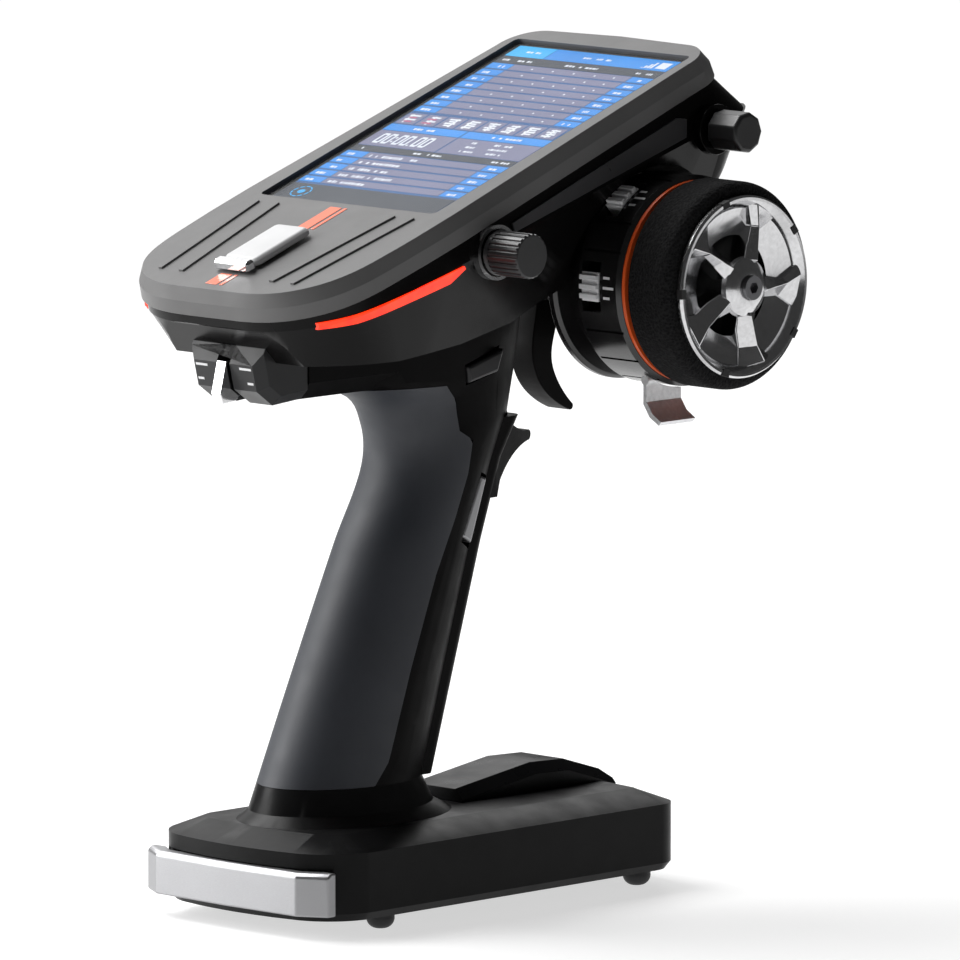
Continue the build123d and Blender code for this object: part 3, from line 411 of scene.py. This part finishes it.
# ---------------------------------------------------------------- turbine wheel rim
def build_rim():
    """Chrome lip, hub, dished skirt and five twisted spokes with windows between them."""
    spoke_start, spoke_depth = -8, 5.2
    lip = turned("rim_lip", [(47.8, 18.9), (47.8, 20.5), (61.9, 20.5), (61.9, 22.2), (62.7, RIM_R),
                             (63.6, RIM_R), (64.2, 22.3), (64.15, 21.6), (63.0, 20.3), (61.4, 19.3),
                             (57.0, 18.9)])
    finish_piece(lip, RIM_CHROME, "wheel", ("wheel_rim",), smooth=28.0)
    hub = turned("rim_hub", [(52.7, 3.1), (52.7, 5.4), (60.0, 6.6), (63.2, 7.6), (64.4, 7.2), (65.6, 5.4),
                             (66.0, 4.6), (66.0, 3.1)], 64)
    finish_piece(hub, RIM_CHROME, "wheel", (), smooth=28.0)
    skirt = turned("rim_skirt", [(58.6, 13.0), (59.4, 12.6), (62.0, 20.4), (61.4, 20.6), (58.0, 13.6)])
    finish_piece(skirt, RIM_CHROME, "wheel", (), smooth=28.0)
    # outline in polar form: angle and radius, with the x of its top edge; wider at hub and lip
    blade = [(-20, 6.8), (-11, 11.0), (-6, 15.5), (-12, 20.9), (20, 20.9), (10, 15.5), (14, 11.0), (27, 6.8)]
    top = [62.8, 61.2, 60.8, 62.6, 62.9, 61.8, 62.6, 64.0]
    ridge = [(-2, 7.2, 65.3), (4.0, 11.0, 64.8), (7.0, 15.5, 64.2), (12.0, 20.9, 63.7)]
    for k in range(5):
        start = spoke_start + 72.0 * k
        vertices = [drum(x, r, start + a) for (a, r), x in zip(blade, top)]
        vertices += [drum(x, r, start + a) for a, r, x in ridge]
        vertices += [drum(x - spoke_depth, r, start + a) for (a, r), x in zip(blade, top)]
        # three facets on each side of the ridge, then the sides, the two ends and the back
        faces = [(0, 1, 9, 8), (1, 2, 10, 9), (2, 3, 11, 10), (4, 5, 10, 11), (5, 6, 9, 10), (6, 7, 8, 9)]
        under = len(blade) + len(ridge)
        faces += [(i, (i + 1) % 8, under + (i + 1) % 8, under + i) for i in (0, 1, 2, 4, 5, 6)]
        faces += [(3, 11, 4, under + 4, under + 3), (7, 8, 0, under, under + 7)]
        faces.append(tuple(under + i for i in range(8)))
        spoke = piece_from(f"rim_spoke_{k + 1}", vertices, faces)
        finish_piece(spoke, RIM_CHROME, "wheel", (), 20.0, 0.28, 3, 14)


build_rim()


# ---------------------------------------------------------------- small marks
def marks(name, outlines, place, material, body="housing", depth=(0.0, 0.12)):
    """Small flat marks of one colour as a single piece, their points put in place by place(a, b, depth)."""
    vertices, faces = [], []
    for outline in outlines:
        n, count = len(vertices), len(outline)
        vertices += [place(a, b, d) for d in depth for a, b in outline]
        faces += [tuple(range(n, n + count)), tuple(range(n + count, n + 2 * count))]
        for k in range(count):
            after = (k + 1) % count
            faces.append((n + k, n + after, n + count + after, n + count + k))
    return finish_piece(piece_from(name, vertices, faces), material, body, ())


def rectangle(a0, a1, b0, b1):
    return [(a0, b0), (a1, b0), (a1, b1), (a0, b1)]


def on_drum(a, b, depth):
    """a runs round the drum in degrees, b along the wheel's axis."""
    return drum(b, DRUM_R + depth, a)


def on_lip(a, b, depth):
    """The same round the wheel's lip."""
    return drum(b, RIM_R + depth, a)


def on_lever_face(x, z, depth):
    """A point on the sloping rear face of the lever's housing."""
    top_y, top_z, slope = LEVER_FACE
    return Vector((x, top_y - depth + (top_z - z) * slope, z))


def build_marks():
    """Ticks beside the trims and the rear lever in place of labels, and dark patches of painted shade where each
    notch of the wheel's lip would be.
    """
    ticks = []
    for angle in (180.0, 125.0, 55.0):
        for step in (-5.5, 0.0, 5.5):
            ticks.append(rectangle(angle + step - 0.7, angle + step + 0.7, 40.6, 42.8 if step else 44.2))
    marks("drum_ticks", ticks, on_drum, WHITE, depth=(-0.02, 0.05))
    # each notch in the wheel's lip is not cut: a dark patch set flush in the lip is painted shade where it would
    # be
    notch_shade_patches = [rectangle(angle - 3, angle + 3, 62.5, 64.3) for angle in (108, 180, 252, 324, 36)]
    marks("rim_notch_painted_shade", notch_shade_patches, on_lip, DARK, "wheel", (-1.6, 0.04))
    dashes = [rectangle(sign * 7.6 - 2.0, sign * 7.6 + 2.0, 139.2, 139.8) for sign in (-1, 1)]
    dashes += [rectangle(sign * 8.6 - 1.0, sign * 8.6 + 1.0, 135.6, 136.2) for sign in (-1, 1)]
    marks("lever_ticks", dashes, on_lever_face, WHITE, depth=(-0.3, 0.08))


build_marks()


# ---------------------------------------------------------------- screen picture
def bars(name, rectangles, material, h, thick=0.05):
    """Many thin rectangles of one colour as a single piece."""
    vertices, faces = [], []
    for x, u, width, height in rectangles:
        n = len(vertices)
        a, b = width / 2, height / 2
        corners = [(x - a, u - b), (x + a, u - b), (x + a, u + b), (x - a, u + b)]
        vertices += [head(p, q, h) for p, q in corners] + [head(p, q, h + thick) for p, q in corners]
        faces += [(n, n + 1, n + 2, n + 3), (n + 4, n + 5, n + 6, n + 7)]
        faces += [(n + k, n + (k + 1) % 4, n + 4 + (k + 1) % 4, n + 4 + k) for k in range(4)]
    return finish_piece(piece_from(name, vertices, faces), material, "housing", ())


SLATE = glowing("screen_slate", (0.030, 0.042, 0.062), (0.024, 0.034, 0.052), 1.0)
SKY = glowing("screen_blue", (0.010, 0.300, 0.880), (0.006, 0.250, 0.760), 1.0)
CYAN = glowing("screen_cyan", (0.020, 0.480, 0.980), (0.015, 0.420, 0.900), 1.0)
LILAC = glowing("screen_lilac", (0.235, 0.245, 0.400), (0.215, 0.225, 0.370), 0.85)
RULE = glowing("screen_rule", (0.008, 0.110, 0.330), (0.006, 0.085, 0.270), 1.0)
LETTER = glowing("screen_white", (0.86, 0.90, 0.96), (0.74, 0.80, 0.92), 1.0)
PINK = glowing("screen_pink", (0.55, 0.16, 0.28), (0.45, 0.12, 0.24), 1.0)

PICTURE_W, PICTURE_L = 56.2, 93.6
PICTURE_TOP = 95.2
LAYER = (-1.20, -1.15, -1.09, -1.05)       # heights of the picture's layers under the glass


def band(t0, t1, x0=0.0, x1=1.0):
    """A rectangle of the picture, as shares of its length from the far end and of its width from the left."""
    return ((x0 + x1) / 2 * PICTURE_W - PICTURE_W / 2, PICTURE_TOP - (t0 + t1) / 2 * PICTURE_L,
            (x1 - x0) * PICTURE_W, (t1 - t0) * PICTURE_L)


def scribble(t, x0, x1, seed, tall=0.010):
    """Short upright marks that stand for a line of small print, from one share of the width to another."""
    dashes, x, k = [], x0, seed
    while x < x1:
        k = (k * 37 + 11) % 101
        wide = 0.007 + 0.006 * (k % 3)
        if k % 5:
            dashes.append(band(t - tall * (0.35 + 0.15 * (k % 2)), t + tall * 0.5, x, min(x + wide, x1)))
        x += wide + 0.006
    return dashes


def zero(t0, t1, x0, x1):
    """A hollow figure nought."""
    bar_t, bar_x = (t1 - t0) * 0.16, (x1 - x0) * 0.26
    return [band(t0, t0 + bar_t, x0 + 0.004, x1 - 0.004), band(t1 - bar_t, t1, x0 + 0.004, x1 - 0.004),
            band(t0 + bar_t * 0.6, t1 - bar_t * 0.6, x0, x0 + bar_x),
            band(t0 + bar_t * 0.6, t1 - bar_t * 0.6, x1 - bar_x, x1)]


def build_picture():
    """The lit picture: header, table of levels, icons, timer, menu and foot, all without words."""
    window = rectangle(-30.4, 30.4, 0.1, 96.8)
    backing = prism("screen_backing", window, head, -2.2, -1.3)
    finish_piece(backing, DARK, "housing", ("screen_mask",))
    glass = prism("screen_pane", window, head, -0.95, -0.65)
    finish_piece(glass, GLASS, "housing", ("screen_glass",))
    bars("picture_back", [band(0, 1)], RULE, LAYER[0])
    row = 0.032
    top_rows = [0.113 + 0.0414 * k for k in range(8)]
    menu_rows = [0.697 + 0.0415 * k for k in range(5)]
    blue = [band(0.0, 0.064, 0.24, 1.0), band(0.521, 0.559, 0, 0.475), band(0.521, 0.559, 0.485, 1.0)]
    lilac = [band(0.563, 0.655, 0.0, 0.475), band(0.563, 0.655, 0.485, 1.0)]
    slate = [band(0.066, 0.110), band(0.658, 0.692), band(0.908, 1.0)]
    for t in top_rows + menu_rows:
        blue += [band(t, t + row, 0.0, 0.135), band(t, t + row, 0.875, 1.0)]
        lilac.append(band(t, t + row, 0.14, 0.87))
    for k in range(8):
        lilac.append(band(0.450, 0.514, 0.008 + k * 0.124, 0.120 + k * 0.124))
    bars("picture_blue", blue, SKY, LAYER[1])
    bars("picture_cyan", [band(0.0, 0.064, 0.0, 0.235)], CYAN, LAYER[1])
    bars("picture_lilac", lilac, LILAC, LAYER[1])
    bars("picture_slate", slate, SLATE, LAYER[1])
    print_marks = scribble(0.034, 0.07, 0.18, 5) + scribble(0.034, 0.45, 0.62, 8)
    print_marks += scribble(0.090, 0.03, 0.21, 3) + scribble(0.090, 0.42, 0.62, 9) + scribble(0.090, 0.86, 0.98, 4)
    print_marks += [band(0.052 - 0.011 * k, 0.054, 0.83 + 0.018 * k, 0.842 + 0.018 * k) for k in range(4)]
    print_marks += [band(0.016, 0.052, 0.915, 0.975)]
    for n, t in enumerate(top_rows):
        middle = t + 0.019
        print_marks += scribble(middle, 0.03, 0.10, n + 2, 0.012) + scribble(middle, 0.91, 0.96, n + 5, 0.012)
        print_marks += [band(t + 0.015, t + 0.021, x, x + 0.008) for x in (0.27, 0.40, 0.53, 0.66, 0.78)]
    for n, t in enumerate(menu_rows):
        middle = t + 0.019
        width = (0.30, 0.27, 0.24, 0.33, 0.22)[n]
        print_marks += scribble(middle, 0.03, 0.09, n + 3, 0.012) + scribble(middle, 0.91, 0.96, n + 7, 0.012)
        print_marks += scribble(middle, 0.17, 0.17 + width, n + 12, 0.013)
    print_marks += scribble(0.540, 0.17, 0.30, 6) + scribble(0.540, 0.66, 0.84, 13)
    print_marks += scribble(0.676, 0.02, 0.08, 2) + scribble(0.676, 0.38, 0.55, 7) + scribble(0.676, 0.84, 0.97, 5)
    for n in range(3):
        middle = 0.583 + 0.026 * n
        print_marks += scribble(middle, 0.60, 0.68, n + 21) + scribble(middle, 0.74, 0.85, n + 31)
    digit = 0.040
    for x in (0.055, 0.104, 0.172, 0.221, 0.289, 0.338):
        print_marks += zero(0.580, 0.640, x, x + digit)
    print_marks += [band(0.596, 0.604, 0.152, 0.162), band(0.620, 0.628, 0.152, 0.162)]
    print_marks += [band(0.632, 0.640, 0.269, 0.279)]
    icons, pink = [], []
    for k in range(8):
        left = 0.008 + k * 0.124
        for j in range(4):
            near, far = left + 0.022 + 0.012 * ((j + k) % 2), left + 0.088 - 0.010 * (j % 2)
            cell = band(0.460 + 0.012 * j, 0.468 + 0.012 * j, near, far)
            (pink if k < 2 and j % 2 else icons).append(cell)
        icons.append(band(0.458, 0.508, left + 0.030 + 0.018 * (k % 3), left + 0.042 + 0.018 * (k % 3)))
    bars("picture_icons", icons, LETTER, LAYER[2], 0.03)
    bars("picture_icon_dots", pink, PINK, LAYER[3], 0.03)
    bars("picture_print", print_marks, LETTER, LAYER[2])
    # a round badge in the foot strip: broken ring and a dot
    x, u, _, _ = band(0.935, 0.975, 0.085, 0.145)
    inner, outer = 2.6, 3.0
    ring = []
    for k in range(10):
        a0, a1 = radians(36 * k + 4), radians(36 * k + 30)
        corners = ((inner, a0), (inner, a1), (outer, a1), (outer, a0))
        ring.append([(x + r * cos(a), u + r * sin(a)) for r, a in corners])
    ring.append([(x + 1.1 * cos(k * pi / 6), u + 1.1 * sin(k * pi / 6)) for k in range(12)])
    for n, outline in enumerate(ring):
        badge = prism(f"badge_{n}", outline, head, LAYER[2], LAYER[2] + 0.04)
        finish_piece(badge, CYAN, "housing", ())


build_picture()


# ---------------------------------------------------------------- floor, lights, camera
EYE_SIDE = Vector((0.6957, -0.7054, 0.1357))
EYE_DISTANCE = 3.5
LIGHTS_AIM = Vector((0.0, 0.0, 0.12))
LOOK_AT = (Vector((1.42, 21.40, 103.0)) - DRAWN_ORIGIN) * MM
camera_data = bpy.data.cameras.new("camera")
camera_data.lens = 525.0
camera_data.sensor_width = 36.0
camera = bpy.data.objects.new("camera", camera_data)
camera.location = LOOK_AT + EYE_SIDE * EYE_DISTANCE
camera.rotation_euler = EYE_SIDE.to_track_quat("Z", "Y").to_euler()
camera_data.clip_end = 30.0
bpy.context.scene.collection.objects.link(camera)
bpy.context.scene.camera = camera


def build_floor():
    """A wide pale floor disc just under the feet."""
    radius, sides, height = 1150, 96, -0.02
    turns = [2 * pi * k / sides for k in range(sides)]
    floor = piece_from("floor", [Vector((radius * cos(a), radius * sin(a), height)) for a in turns],
                       [tuple(range(sides))])
    material, tree, shader = new_material("floor_white", (0.86, 0.86, 0.86), 0.6)
    tree.links.new(ramp(tree, noise(tree, 3.0), 0.46, 0.48), shader.inputs["Base Color"])
    shader.inputs["Emission Color"].default_value = (1.0, 1.0, 1.0, 1.0)
    shader.inputs["Emission Strength"].default_value = 0.62
    floor.data.materials.append(material)


def area_light(name, place, size, size_y, power):
    """A soft white rectangular light at a place, aimed at the middle of the object, both in metres."""
    data = bpy.data.lights.new(name, "AREA")
    data.shape = "RECTANGLE"
    data.size, data.size_y = size, size_y
    data.energy = power
    lamp = bpy.data.objects.new(name, data)
    lamp.location = place
    lamp.visible_camera = False
    lamp.rotation_euler = (Vector(place) - LIGHTS_AIM).to_track_quat("Z", "Y").to_euler()
    bpy.context.scene.collection.objects.link(lamp)


build_floor()
world = bpy.data.worlds.new("studio")
bpy.context.scene.world = world
world.use_nodes = True
backdrop = world.node_tree.nodes["Background"]
backdrop.inputs["Color"].default_value = (1.0, 1.0, 1.0, 1.0)
rays = world.node_tree.nodes.new("ShaderNodeLightPath")
level = world.node_tree.nodes.new("ShaderNodeMapRange")
level.inputs["To Min"].default_value = 0.05
level.inputs["To Max"].default_value = 1.02
world.node_tree.links.new(rays.outputs["Is Camera Ray"], level.inputs["Value"])
world.node_tree.links.new(level.outputs["Result"], backdrop.inputs["Strength"])
area_light("back_panel", (-1.45, 1.10, 0.95), 1.7, 1.2, 8)
area_light("left_panel", (-1.20, -0.95, 0.40), 0.7, 1.2, 21)
area_light("top_panel", (-0.85, -0.15, 1.25), 1.0, 1.0, 30)
bpy.context.scene.view_settings.view_transform = "Standard"
